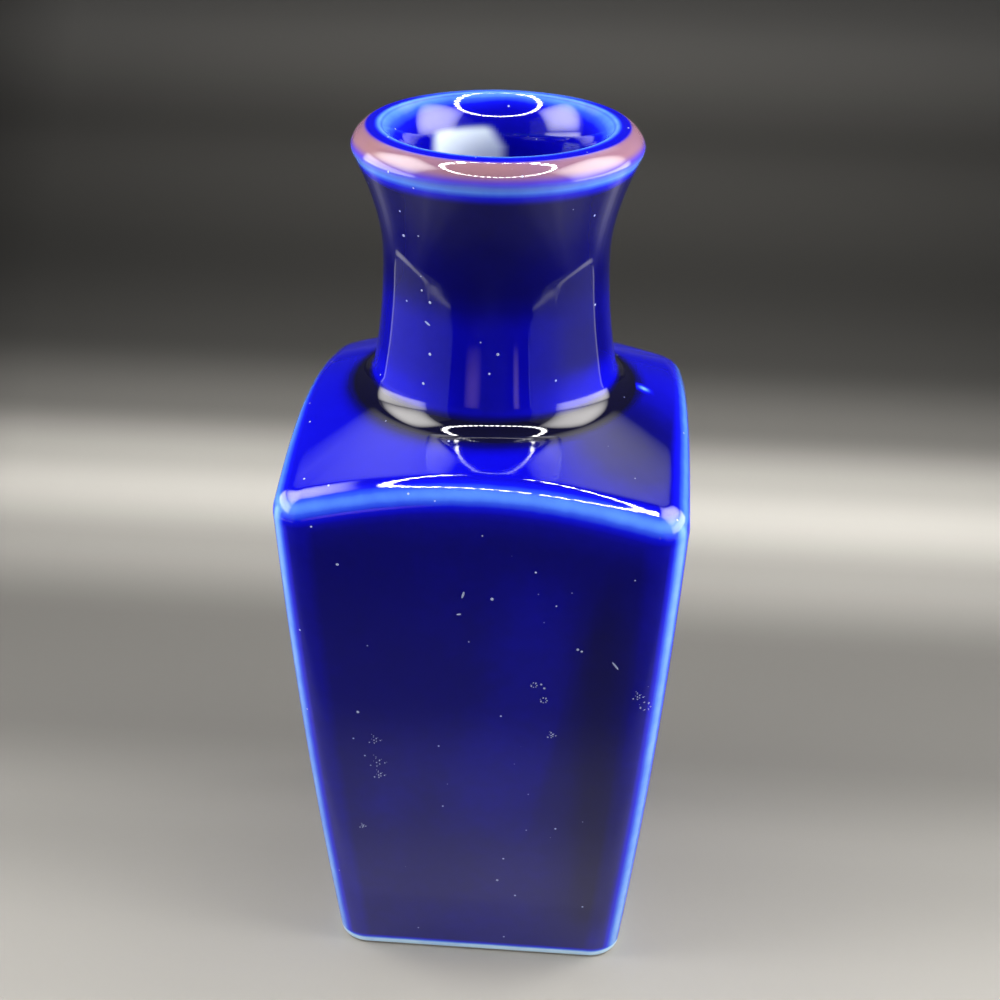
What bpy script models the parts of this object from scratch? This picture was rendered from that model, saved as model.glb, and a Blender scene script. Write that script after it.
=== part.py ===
"""Bud vase: one hollow glazed piece with a square tapering body, a sloping roof with
rounded edges, a round waisted neck and a bevelled lip.

Lengths are in metres and +Z is up. The vase stands on z = 0 with its axis on the
origin, and its four faces look along X and Y. It is lofted as one closed shell, from
the hollow under the foot, up the outside, over the lip and down the inside.
"""

import math

import bmesh
import bpy

# Body
SHOULDER_WIDTH = 0.0628  # across two faces, where the walls meet the roof
FOOT_WIDTH = 0.0494  # across two faces, at the table
WALL_BOW = 0.00075  # how far a face swells out at half height
SHOULDER_HEIGHT = 0.0951  # table to roof at the middle of a face, edge taken as sharp
ROOF_SLOPE = math.radians(21.5)  # the roof is a cone that rises towards the neck
CORNER_RADIUS = 0.0054  # of the upright corners, seen from above
EDGE_RADIUS = 0.0051  # between wall and roof

# Neck
ROOT_DIAMETER = 0.0391  # where neck and roof would meet in a sharp corner
ROOT_LEAN = math.radians(10.5)  # the neck leans in as it leaves the roof
ROOT_FILLET = 0.0052  # radius of the hollow curve between roof and neck
WAIST_DIAMETER = 0.0347  # outside, at the narrowest place
ROOT_TO_WAIST = 0.0208
WAIST_TO_LIP = 0.0165
FLARE_LEAN = math.radians(24.5)  # the neck leans out as it reaches the lip

# Lip
LIP_DIAMETER = 0.0437  # the widest place, at the foot of the bevel
BEVEL_WIDTH = 0.0023
BEVEL_HEIGHT = 0.0029
RIM_WIDTH = 0.0021  # the flat on top, between bevel and mouth
RIM_RISE = 0.0002  # how far the flat rises towards the mouth
BEVEL_CROWN = math.radians(20)  # the bevel is rounded, so each end leans this far off its line
LIP_RADIUS = 0.0011  # of the rounded edges at both sides of the bevel
MOUTH_RADIUS = 0.0009  # of the rounded edge between rim and throat
THROAT_LEAN = math.radians(52)  # the throat opens this wide at the mouth

# Inside
WALL = 0.0038  # thickness of walls, roof and neck
FLOOR = 0.0050
INNER_CORNER_RADIUS = 0.0080
INNER_EDGE_RADIUS = 0.0060  # between inner wall and the underside of the roof
INNER_FLOOR_RADIUS = 0.0050

# Foot
FOOT_RADIUS = 0.0010  # outer edge at the table
FOOT_RING_WIDTH = 0.0050  # the flat ring that it stands on
RECESS_DEPTH = 0.0015  # of the hollow inside the ring
RECESS_DRAFT = 0.0008  # how far the hollow's side leans inwards

# Mesh
SIDES = 4
FLAT_STEPS = 10  # along one face
CORNER_STEPS = 4  # round one corner
FOOT_STEPS = 3
WALL_STEPS = 8
EDGE_STEPS = 5
ROOF_STEPS = 4
ROOT_STEPS = 4
NECK_STEPS = 6
FLARE_STEPS = 7
LIP_STEPS = 3
CROWN_STEPS = 4
THROAT_STEPS = 6
INNER_WALL_STEPS = 4
FLOOR_STEPS = 4
EDGE_PASSES = 4  # enough to settle the height of the edge to a micrometre
SHARP_ANGLE = math.radians(40)

GLAZE_COLOUR = (0.012, 0.012, 0.30, 1.0)
GLAZE_ROUGHNESS = 0.06

LEAST_CORNER_SHARE = 0.3  # an inset corner keeps this share of its radius

HALF_SHOULDER = SHOULDER_WIDTH / 2
HALF_FOOT = FOOT_WIDTH / 2
UPRIGHT = math.pi / 2


def shares(count):
    """Even steps from 0 to 1, with both left in."""
    return [index / count for index in range(count + 1)]


def rotated(point, angle):
    """A plan point turned about the axis."""
    x, y = point
    return (x * math.cos(angle) - y * math.sin(angle),
            x * math.sin(angle) + y * math.cos(angle))


def plan_columns():
    """Where each upright line of the shell stands on a rounded square.

    Each entry is a point on a square of half width 1 and the outward direction
    there. The points on a face are spaced so that they lie at even angles.
    """
    columns = []
    reach = math.atan((HALF_SHOULDER - CORNER_RADIUS) / HALF_SHOULDER)
    for side in range(SIDES):
        turn = side * 2 * math.pi / SIDES
        local = []
        for share in shares(FLAT_STEPS):
            slide = math.tan((2 * share - 1) * reach) / math.tan(reach)
            local.append(((1.0, slide), (1.0, 0.0)))
        for share in shares(CORNER_STEPS)[1:-1]:
            angle = share * math.pi / 2
            local.append(((1.0, 1.0), (math.cos(angle), math.sin(angle))))
        columns += [(rotated(at, turn), rotated(out, turn)) for at, out in local]
    return columns


def on_square(column, half_width, corner_radius):
    """A column's plan point on a rounded square of the given size."""
    (square_x, square_y), (out_x, out_y) = column
    straight = half_width - corner_radius
    return (straight * square_x + corner_radius * out_x,
            straight * square_y + corner_radius * out_y)


def inset(column, half_width, corner_radius, depth):
    """The same point on the outline drawn a depth inside that square."""
    radius = max(corner_radius - depth, corner_radius * LEAST_CORNER_SHARE)
    return on_square(column, half_width - depth, radius)


def half_width_at(height):
    """Half the outer width of the body: a straight taper with a slight swelling."""
    share = height / SHOULDER_HEIGHT
    taper = HALF_FOOT + (HALF_SHOULDER - HALF_FOOT) * share
    return taper + WALL_BOW * 4 * share * (1 - share)


def wall_lean(column, swelling):
    """How far the wall leans out at a column, where the swelling tilts it by that much."""
    (square_x, square_y), (out_x, out_y) = column
    widening = (HALF_SHOULDER - HALF_FOOT + swelling) / SHOULDER_HEIGHT
    return math.atan(widening * (square_x * out_x + square_y * out_y))


def roof_height(radius):
    """Height of the outer roof at a distance from the axis."""
    return SHOULDER_HEIGHT - math.tan(ROOF_SLOPE) * (radius - HALF_SHOULDER)


def rounding(radius, first, last, count):
    """Steps (out, up) from a sharp corner to the points of its rounded edge.

    The angles are those of the two outward normals above the level. A negative
    radius gives the hollow curve of an inner corner.
    """
    size = -radius / (1 + math.cos(last - first))
    centre = (size * (math.cos(first) + math.cos(last)),
              size * (math.sin(first) + math.sin(last)))
    turns = [first + (last - first) * share for share in shares(count)]
    return [(centre[0] + radius * math.cos(turn),
             centre[1] + radius * math.sin(turn)) for turn in turns]


def sweep(start, end, start_slope, end_slope, share):
    """A smooth curve from one value to another that leaves and arrives at given slopes."""
    away = 1 - share
    return (start * away ** 2 * (1 + 2 * share) + end * share ** 2 * (1 + 2 * away)
            + start_slope * share * away ** 2 - end_slope * share ** 2 * away)


def moved(point, steps):
    """The points at those steps from a point."""
    return [(point[0] + out, point[1] + up) for out, up in steps]


def edge_arc(column, thickness, corner_radius, edge_radius):
    """Points of the round between a wall and the roof over it, from the wall up.

    The thickness is how far this wall and roof lie inside the outer ones. The roof
    falls away towards the corners, so the edge is found column by column: the wall
    is followed up to the roof, and the roof is read again over that place.
    """
    drop = thickness / math.cos(ROOF_SLOPE)
    height = SHOULDER_HEIGHT
    for _ in range(EDGE_PASSES):
        half_width = half_width_at(height) - thickness
        x, y = on_square(column, half_width, corner_radius)
        distance = math.hypot(x, y)
        height = roof_height(distance) - drop
    out_x, out_y = column[1]
    rise = math.tan(ROOF_SLOPE) * (x * out_x + y * out_y) / distance
    lean = wall_lean(column, -4 * WALL_BOW)
    arc = []
    for out, up in rounding(edge_radius, -lean, UPRIGHT - math.atan(rise), EDGE_STEPS):
        arc.append((*inset(column, half_width, corner_radius, -out), height + up))
    return arc


def between(start, end, count):
    """The points that part a straight line into even steps."""
    return [tuple(a + (b - a) * share for a, b in zip(start, end))
            for share in shares(count)[1:-1]]


def neck_profile():
    """Radius and height of the neck, lip and throat, from root to root.

    The first half runs up the outside and the second down the inside. The bevel is
    two facets with one wide arc between them, and the throat is an arc that ends
    upright in the bore.
    """
    waist = WAIST_DIAMETER / 2
    lip = LIP_DIAMETER / 2
    corner = (ROOT_DIAMETER / 2, roof_height(ROOT_DIAMETER / 2))
    roof_normal = UPRIGHT - ROOF_SLOPE
    root = moved(corner, rounding(-ROOT_FILLET, roof_normal, ROOT_LEAN, ROOT_STEPS))
    start_radius, start_height = root[-1]
    waist_height = corner[1] + ROOT_TO_WAIST
    rise = waist_height - start_height
    neck = [(sweep(start_radius, waist, -math.tan(ROOT_LEAN) * rise, 0.0, share),
             start_height + rise * share) for share in shares(NECK_STEPS)[1:]]

    edge = (lip, waist_height + WAIST_TO_LIP)
    ridge = (lip - BEVEL_WIDTH, edge[1] + BEVEL_HEIGHT)
    mouth = (ridge[0] - RIM_WIDTH, ridge[1] + RIM_RISE)
    bevel_normal = math.atan2(BEVEL_WIDTH, BEVEL_HEIGHT)
    rim_normal = UPRIGHT - math.atan2(RIM_RISE, RIM_WIDTH)
    throat_normal = math.pi - THROAT_LEAN
    low_normal = bevel_normal - BEVEL_CROWN
    high_normal = bevel_normal + BEVEL_CROWN
    facet = math.hypot(BEVEL_WIDTH, BEVEL_HEIGHT) / 2 / math.cos(BEVEL_CROWN)
    crown = (edge[0] - facet * math.sin(low_normal), edge[1] + facet * math.cos(low_normal))
    taken = LIP_RADIUS * math.tan(max(low_normal + FLARE_LEAN, rim_normal - high_normal) / 2)
    crown_radius = (facet - taken) / math.tan(BEVEL_CROWN)
    lip_edge = moved(edge, rounding(LIP_RADIUS, -FLARE_LEAN, low_normal, LIP_STEPS))
    lip_edge += moved(crown, rounding(crown_radius, low_normal, high_normal, CROWN_STEPS))[1:-1]
    lip_edge += moved(ridge, rounding(LIP_RADIUS, high_normal, rim_normal, LIP_STEPS))
    lip_edge += moved(mouth, rounding(MOUTH_RADIUS, rim_normal, throat_normal, LIP_STEPS))

    reach = (lip_edge[0][1] - waist_height) / WAIST_TO_LIP
    flare = [(sweep(waist, lip, 0.0, math.tan(FLARE_LEAN) * WAIST_TO_LIP, share * reach),
              waist_height + WAIST_TO_LIP * share * reach) for share in shares(FLARE_STEPS)[1:-1]]

    top_radius, top_height = lip_edge[-1]
    throat_radius = (top_radius - waist + WALL) / (1 - math.cos(THROAT_LEAN))
    throat = []
    for share in shares(THROAT_STEPS)[1:]:
        turn = THROAT_LEAN * (1 - share)
        throat.append((waist - WALL + throat_radius * (1 - math.cos(turn)),
                       top_height - throat_radius * (math.sin(THROAT_LEAN) - math.sin(turn))))
    bore = [(radius - WALL, height) for radius, height in reversed(neck)]
    turns = [roof_normal + (ROOT_LEAN - roof_normal) * share for share in shares(ROOT_STEPS)]
    under_root = [(radius - WALL * math.cos(turn), height - WALL * math.sin(turn))
                  for (radius, height), turn in zip(root, turns)]
    return root + neck + flare + lip_edge + throat + bore + under_root[::-1]


def outer_wall(column):
    """The underside, the foot's edge and the wall of one column, from the middle out."""
    ring_edge = FOOT_RADIUS + FOOT_RING_WIDTH
    points = [(*inset(column, HALF_FOOT, CORNER_RADIUS, ring_edge + RECESS_DRAFT), RECESS_DEPTH),
              (*inset(column, HALF_FOOT, CORNER_RADIUS, ring_edge), 0.0)]
    lean = wall_lean(column, 4 * WALL_BOW)
    for out, up in rounding(FOOT_RADIUS, -UPRIGHT, -lean, FOOT_STEPS):
        points.append((*inset(column, HALF_FOOT, CORNER_RADIUS, -out), up))
    round_edge = edge_arc(column, 0.0, CORNER_RADIUS, EDGE_RADIUS)
    low = points[-1][2]
    top = round_edge[0][2]
    for share in shares(WALL_STEPS)[1:-1]:
        height = low + (top - low) * share
        points.append((*on_square(column, half_width_at(height), CORNER_RADIUS), height))
    return points + round_edge


def inner_wall(column):
    """The underside of the roof, the inner wall and the floor's edge, from the top down."""
    round_edge = edge_arc(column, WALL, INNER_CORNER_RADIUS, INNER_EDGE_RADIUS)
    points = round_edge[::-1]
    floor = RECESS_DEPTH + FLOOR
    top = round_edge[0][2]
    sharp = half_width_at(floor) - WALL
    floor_edge = []
    for out, up in rounding(INNER_FLOOR_RADIUS, -UPRIGHT, -wall_lean(column, 0.0), FLOOR_STEPS):
        plan = inset(column, sharp, INNER_CORNER_RADIUS, -out)
        floor_edge.append((*plan, floor + up))
    low = floor_edge[-1][2]
    for share in shares(INNER_WALL_STEPS)[1:-1]:
        height = top + (low - top) * share
        plan = on_square(column, half_width_at(height) - WALL, INNER_CORNER_RADIUS)
        points.append((*plan, height))
    return points + floor_edge[::-1]


def vase_rings():
    """Every ring of the shell in order, each with one point for each column."""
    profile = neck_profile()
    strips = []
    for column in plan_columns():
        angle = math.atan2(*on_square(column, HALF_SHOULDER, CORNER_RADIUS)[::-1])
        neck = [(radius * math.cos(angle), radius * math.sin(angle), height)
                for radius, height in profile]
        outside = outer_wall(column)
        inside = inner_wall(column)
        roof = between(outside[-1], neck[0], ROOF_STEPS)
        ceiling = between(neck[-1], inside[0], ROOF_STEPS)
        strips.append(outside + roof + neck + ceiling + inside)
    return list(zip(*strips))


def loft(name, rings):
    """A closed mesh object with faces between the rings and a flat face on each end."""
    shell = bmesh.new()
    loops = [[shell.verts.new(point) for point in ring] for ring in rings]
    for lower, upper in zip(loops, loops[1:]):
        for index, corner in enumerate(lower):
            following = (index + 1) % len(lower)
            shell.faces.new((corner, lower[following], upper[following], upper[index]))
    shell.faces.new(reversed(loops[0]))
    shell.faces.new(loops[-1])
    bmesh.ops.recalc_face_normals(shell, faces=shell.faces)
    mesh = bpy.data.meshes.new(name)
    shell.to_mesh(mesh)
    shell.free()
    mesh.shade_smooth()
    mesh.set_sharp_from_angle(angle=SHARP_ANGLE)
    piece = bpy.data.objects.new(name, mesh)
    bpy.context.scene.collection.objects.link(piece)
    return piece


def glaze():
    """The dark blue gloss glaze."""
    material = bpy.data.materials.new("glaze")
    material.use_nodes = True
    shader = material.node_tree.nodes["Principled BSDF"]
    shader.inputs["Base Color"].default_value = GLAZE_COLOUR
    shader.inputs["Roughness"].default_value = GLAZE_ROUGHNESS
    shader.inputs["Metallic"].default_value = 0.0
    material.diffuse_color = GLAZE_COLOUR
    return material


def main():
    """Clear the scene and build the vase."""
    for old in list(bpy.data.objects):
        bpy.data.objects.remove(old, do_unlink=True)
    vase = loft("vase", vase_rings())
    vase.data.materials.append(glaze())


main()
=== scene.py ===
"""Dresses the bud vase: a fine glazed shell, the studio that it stands in and the camera.

Lengths are in metres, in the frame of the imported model: +Z up, the vase's axis on the
origin, its foot on z = 0 and its front face towards -Y.
"""

import logging
import math
from dataclasses import dataclass, field
from enum import Enum

import bpy
import numpy as np
from mathutils import Matrix, Vector


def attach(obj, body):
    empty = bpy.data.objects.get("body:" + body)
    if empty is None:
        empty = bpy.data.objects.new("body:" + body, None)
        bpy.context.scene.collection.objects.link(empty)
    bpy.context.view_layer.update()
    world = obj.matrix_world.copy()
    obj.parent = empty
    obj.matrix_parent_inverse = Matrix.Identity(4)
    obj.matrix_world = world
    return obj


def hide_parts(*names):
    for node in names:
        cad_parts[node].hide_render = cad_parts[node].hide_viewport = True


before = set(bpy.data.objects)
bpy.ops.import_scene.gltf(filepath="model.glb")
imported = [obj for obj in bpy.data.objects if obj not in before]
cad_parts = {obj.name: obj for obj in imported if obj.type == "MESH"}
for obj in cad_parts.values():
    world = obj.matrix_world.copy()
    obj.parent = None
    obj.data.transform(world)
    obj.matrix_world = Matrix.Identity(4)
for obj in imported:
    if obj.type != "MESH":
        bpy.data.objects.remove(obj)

LOG = logging.getLogger("bud_vase")
UPRIGHT = math.pi / 2
SIDES = 4

Span = tuple[float, float]
Colour = tuple[float, float, float]
Sway = tuple[float, float, float]
Point = tuple[float, float, float]


class Layer(Enum):
    """What each attribute on the shell's points says of the glaze and of light painted on it."""

    # Glaze thinness, which also carries painted shade, a painted glint and painted top light.
    THIN = "glaze_thin_and_painted_light"
    BLUSH = "lip_blush"
    BARE = "bare_clay"
    # Painted reflection of the floor: a grey veil over the lower front face.
    FLOOR_REFLECTION = "painted_floor_reflection"
    # Painted highlight: a pale patch of light on the back of the bore.
    THROAT_HIGHLIGHT = "painted_throat_highlight"


class MarkKind(Enum):
    """The kinds of small pale marks in the front's glaze."""

    DOT = "dot"
    RING = "ring"
    SCRATCH = "scratch"
    CLUSTER = "cluster"


def shares(count: int) -> np.ndarray:
    """Even steps from 0 to 1, both left in, as a column of rows."""
    return np.linspace(0.0, 1.0, count + 1)[:, None]


def sweep(start: float, end: float, start_slope: float, end_slope: float,
          share: np.ndarray) -> np.ndarray:
    """A smooth cubic from one value to another that leaves and arrives at given slopes.

    The value is start (1-s)^2 (1+2s) + end s^2 (3-2s) + start_slope s (1-s)^2
    - end_slope s^2 (1-s).

    Args:
        start: The value at share 0.
        end: The value at share 1.
        start_slope: The change per whole share at share 0.
        end_slope: The change per whole share at share 1.
        share: Where to read the curve, from 0 to 1.

    Returns:
        The curve's values, in the shape of share.
    """
    away = 1 - share
    return (start * away ** 2 * (1 + 2 * share) + end * share ** 2 * (1 + 2 * away)
            + start_slope * share * away ** 2 - end_slope * share ** 2 * away)


def rounding(radius: float, first: np.ndarray, last: np.ndarray,
             share: np.ndarray) -> tuple[np.ndarray, np.ndarray]:
    """Steps from a sharp corner to the points of the arc that rounds it.

    The centre lies at -r (n1 + n2) / (1 + n1.n2) from the corner, and the points at
    that centre + r n, where n turns evenly from the first outward normal to the last.
    A negative radius gives the hollow curve of an inner corner.

    Args:
        radius: The arc's radius in metres.
        first: Angle above the level of the outward normal where the arc starts.
        last: The same where it ends.
        share: How far round the arc each row lies, from 0 to 1.

    Returns:
        The step outwards and the step upwards, each in the shape of share.
    """
    size = -radius / (1 + np.cos(last - first))
    turn = first + (last - first) * share
    out = size * (np.cos(first) + np.cos(last)) + radius * np.cos(turn)
    rise = size * (np.sin(first) + np.sin(last)) + radius * np.sin(turn)
    return out, rise


def bell(distance: np.ndarray, width: np.ndarray | float) -> np.ndarray:
    """A smooth bump, exp(-(d / w)^2): 1 at distance 0, and under 0.02 past 2 widths."""
    return np.exp(-((distance / width) ** 2))


def ease(value: np.ndarray, low: float, high: float) -> np.ndarray:
    """A smooth step, 3 t^2 - 2 t^3, from 0 at low to 1 at high."""
    share = np.clip((value - low) / (high - low), 0.0, 1.0)
    return share * share * (3 - 2 * share)


def window(value: np.ndarray, rise: Span, fall: Span) -> np.ndarray:
    """A soft window, ease times (1 - ease): 0 to 1 over the rise and back over the fall."""
    return ease(value, *rise) * (1 - ease(value, *fall))


def swayed(step: np.ndarray, sway: Sway) -> np.ndarray:
    """An uneven series without chance: middle + size sin(pace k) for each step k."""
    return sway[0] + sway[1] * np.sin(step * sway[2])


def placed(name: str, mesh: bpy.types.Mesh) -> bpy.types.Object:
    """Makes an object of a mesh, unturned at the origin, and links it to the scene.

    Args:
        name: The object's name.
        mesh: The mesh, in the frame's own coordinates.

    Returns:
        The object.
    """
    thing = bpy.data.objects.new(name, mesh)
    bpy.context.scene.collection.objects.link(thing)
    return thing


@dataclass(frozen=True)
class SquareOutline:
    """The rounded square that the body follows, seen from above, as columns around it."""

    flat_steps: int = 44
    corner_steps: int = 14
    reach: float = math.radians(38.5)
    least_corner_share: float = 0.3

    def columns(self) -> tuple[np.ndarray, np.ndarray]:
        """Where each column stands.

        A face's points are (1, tan a / tan reach) for even angles a, and a corner's
        are (1, 1) with an outward normal (cos b, sin b) for even b. Both are turned
        into place side by side.

        Returns:
            Points on a square of half width 1, and the outward normals there.
        """
        along = np.linspace(-self.reach, self.reach, self.flat_steps + 1)
        slide = np.tan(along) / math.tan(self.reach)
        turn = np.linspace(0, UPRIGHT, self.corner_steps + 1)[1:-1]
        square = np.concatenate([np.stack([np.ones_like(slide), slide], 1),
                                 np.ones((turn.size, 2))])
        out = np.concatenate([np.tile([1.0, 0.0], (slide.size, 1)),
                              np.stack([np.cos(turn), np.sin(turn)], 1)])
        turns = [np.array([[math.cos(a), -math.sin(a)], [math.sin(a), math.cos(a)]])
                 for a in np.arange(SIDES) * UPRIGHT]
        return (np.concatenate([square @ t.T for t in turns]),
                np.concatenate([out @ t.T for t in turns]))


@dataclass(frozen=True)
class Body:
    """Sizes of the square body, the same as the solid's."""

    shoulder_width: float = 0.0628
    foot_width: float = 0.0494
    bow: float = 0.00075
    shoulder_height: float = 0.0951
    roof_slope: float = math.radians(21.5)
    corner_radius: float = 0.0054
    edge_radius: float = 0.0051
    wall: float = 0.0038
    floor: float = 0.0050
    inner_corner_radius: float = 0.0080
    inner_edge_radius: float = 0.0060
    inner_floor_radius: float = 0.0050
    foot_radius: float = 0.0010
    ring_width: float = 0.0050
    recess_depth: float = 0.0015
    recess_draft: float = 0.0008

    def half_width(self, height: np.ndarray) -> np.ndarray:
        """Half the outer width: a straight taper plus a swelling, 4 bow t (1 - t).

        Args:
            height: Heights over the table, of which t is the share of the shoulder's.

        Returns:
            The half widths, in the shape of height.
        """
        share = height / self.shoulder_height
        taper = self.foot_width / 2 + (self.shoulder_width - self.foot_width) / 2 * share
        return taper + self.bow * 4 * share * (1 - share)

    def roof_height(self, radius: np.ndarray) -> np.ndarray:
        """Height of the outer roof, a cone, at a distance from the axis."""
        from_wall = radius - self.shoulder_width / 2
        return self.shoulder_height - math.tan(self.roof_slope) * from_wall


@dataclass(frozen=True)
class Neck:
    """Sizes of the round neck and the lip, the same as the solid's."""

    root_diameter: float = 0.0391
    root_lean: float = math.radians(10.5)
    root_fillet: float = 0.0052
    waist_diameter: float = 0.0347
    root_to_waist: float = 0.0208
    waist_to_lip: float = 0.0165
    flare_lean: float = math.radians(24.5)
    lip_diameter: float = 0.0437
    bevel_width: float = 0.0023
    bevel_height: float = 0.0029
    bevel_crown: float = math.radians(20)
    rim_width: float = 0.0021
    rim_rise: float = 0.0002
    lip_radius: float = 0.0011
    mouth_radius: float = 0.0009
    throat_lean: float = math.radians(52)


@dataclass(frozen=True)
class Break:
    """How light the glaze is on each edge and plain surface, from 0 to 1, mostly by how thin
    it runs. The roof is partly painted top light, the pool partly painted shade, the flare
    painted shade under the lip and the neck's right front partly painted dark reflection.
    """

    wall: float = 0.16
    below_edge: float = 0.06
    beside_corner: float = 0.05
    corner: float = 0.90
    edge: float = 0.82
    # The roof is lighter: partly glaze running thin, partly painted top light.
    roof: float = 0.36
    neck: float = 0.235
    # The flare is darker: painted shade under the lip.
    flare: float = 0.095
    above_root: float = 0.16
    # The neck's right front is darker: partly deeper glaze, partly painted dark reflection.
    right_neck: float = 0.11
    # The darkest: glaze pooled at the neck's root with painted shade, and the painted shadow of the
    # neck on the roof.
    pool: float = 0.0
    lip_edge: float = 0.86
    rim: float = 0.39
    rear_rim: float = 0.40
    mouth: float = 0.86
    inside: float = 0.29
    foot: float = 1.0
    first_blush: float = 0.22


@dataclass(frozen=True)
class Reach:
    """Where each change in the glaze lies: in metres, or in shares of its own strip.

    A fade is the width of a bell, and a pair is where a soft step starts and ends. The
    turns, the right fade and the corner's flank and front are angles.
    """

    foot_bare: Span = (0.0002, 0.0007)
    foot_line: float = 0.0013
    foot_fade: float = 0.0008
    # The painted reflection of the floor: how high it reaches up the face and how it fades.
    reflection_height: float = 0.062
    reflection_power: float = 1.3
    below_edge: float = 0.0030
    beside_corner: float = 0.030
    corner_turn: float = math.radians(57)
    corner_flank: float = math.radians(22)
    corner_front: float = math.radians(28)
    corner_end: Span = (0.3, 0.9)
    shoulder_blend: Span = (0.35, 1.0)
    shoulder_middle: float = 0.46
    shoulder_fade: float = 0.44
    # How far the pool and painted shade round the root reach onto the roof.
    roof_pool_shade: float = 0.0006  # from the pool's middle out to the roof's inner rim
    roof_fade: float = 0.0021
    # Where the pool and painted shade lie in the root's hollow.
    root_pool_shade: Span = (0.55, 0.88)
    root_blend: Span = (0.3, 0.9)
    above_root: float = 0.16
    flare_blend: Span = (0.60, 1.0)
    right_turn: float = -0.62
    right_fade: float = 0.42
    right_rise: Span = (0.10, 0.30)
    right_fall: Span = (0.5, 1.0)
    below_lip: float = 0.0007
    below_lip_fade: float = 0.0016
    edge_drop: float = 0.0008
    edge_fade: float = 0.0020
    first_blush: Span = (-0.25, 0.05)
    full_blush: Span = (0.05, 0.45)
    blush_end: Span = (0.90, 1.05)
    rear_rim: Span = (0.008, 0.017)
    rim_fade: float = 0.0011
    mouth_fade: float = 0.0012
    mouth_fade_aside: float = 0.0013


@dataclass(frozen=True)
class SoftSpot:
    """A soft bump on a surface: its strength, its middle and its reach in two directions."""

    strength: float
    middle: Span
    reach: Span

    def at(self, first: np.ndarray, second: np.ndarray) -> np.ndarray:
        """The bump's values: its strength times a bell in each direction."""
        return (self.strength * bell(first - self.middle[0], self.reach[0])
                * bell(second - self.middle[1], self.reach[1]))


@dataclass(frozen=True)
class Run:
    """Lighter and darker places on the front face, the painted shade and glint on the roof,
    and the painted highlight in the bore.
    """

    streak: float = 0.035
    streak_line: Span = (0.0075, 0.055)
    streak_slant: float = 0.20
    streak_left: Span = (-0.0120, -0.0030)
    streak_right: Span = (0.0050, 0.0075)
    streak_bottom: Span = (0.022, 0.040)
    streak_top: Span = (0.074, 0.088)
    light_spots: tuple[SoftSpot, ...] = (
        SoftSpot(0.030, (-0.0145, 0.0345), (0.0045, 0.0045)),
        SoftSpot(0.030, (-0.0040, 0.0060), (0.0120, 0.0060)))
    # A darker upright band on the front face's right side.
    dark_band: float = 0.09
    dark_band_x: float = 0.0190
    dark_band_fade: float = 0.0045
    dark_band_bottom: Span = (0.003, 0.012)
    dark_band_top: Span = (0.07, 0.09)
    front_limit: float = -0.02
    # Painted shadow of the neck over the roof's right front.
    pool: SoftSpot = SoftSpot(0.72, (0.0220, -0.0165), (0.0120, 0.0150))
    # Painted glint: a small light spot on the roof's right back.
    painted_glint: SoftSpot = SoftSpot(1.0, (0.0237, 0.0004), (0.0016, 0.0013))
    # Where the painted highlight lies on the back of the bore.
    patch_corner: Span = (-0.0032, 0.1362)
    patch_slant: float = 0.75
    patch_left: Span = (-0.0112, -0.0096)
    patch_right: Span = (-0.0010, 0.0014)
    patch_bottom: Span = (0.1200, 0.1290)
    patch_top: Span = (0.1348, 0.1362)

    def on_front(self, points: np.ndarray) -> np.ndarray:
        """How much lighter or darker the front face is: soft windows and bumps in x and z.

        The light streak is a window across a slanting line and one up it. Two bumps
        are added, and a dark upright band, a bell in x by a window in z, is taken off.

        Args:
            points: Points on the wall.

        Returns:
            What is added to the thinness, 0 on the other three faces.
        """
        x, y, z = points[..., 0], points[..., 1], points[..., 2]
        from_line = x - self.streak_line[0] - self.streak_slant * (z - self.streak_line[1])
        light = (self.streak * window(from_line, self.streak_left, self.streak_right)
                 * window(z, self.streak_bottom, self.streak_top)
                 + sum(spot.at(x, z) for spot in self.light_spots))
        dark_band = (self.dark_band * bell(x - self.dark_band_x, self.dark_band_fade)
                * window(z, self.dark_band_bottom, self.dark_band_top))
        return np.where(y < self.front_limit, light - dark_band, 0.0)

    def in_bore(self, points: np.ndarray) -> np.ndarray:
        """The painted highlight on the back of the bore: soft windows in x and z, cut aslant.

        Its right border runs down and to the right from the patch's corner.

        Args:
            points: Points in the bore.

        Returns:
            The patch's strength, from 0 to 1.
        """
        x, y, z = points[..., 0], points[..., 1], points[..., 2]
        from_right = x - self.patch_corner[0] - (self.patch_corner[1] - z) * self.patch_slant
        across = ease(x, *self.patch_left) * (1 - ease(from_right, *self.patch_right))
        return np.where(y > 0, across * window(z, self.patch_bottom, self.patch_top), 0.0)


@dataclass
class Strip:
    """One band of the shell: its points and what the glaze does on them."""

    points: np.ndarray
    layers: dict[Layer, np.ndarray] = field(default_factory=dict)

    def layer(self, name: Layer) -> np.ndarray:
        """One layer's values on the strip's grid, 0 where nothing is said."""
        shape = self.points.shape[:2]
        return np.broadcast_to(self.layers.get(name, np.zeros(1)), shape)


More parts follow.
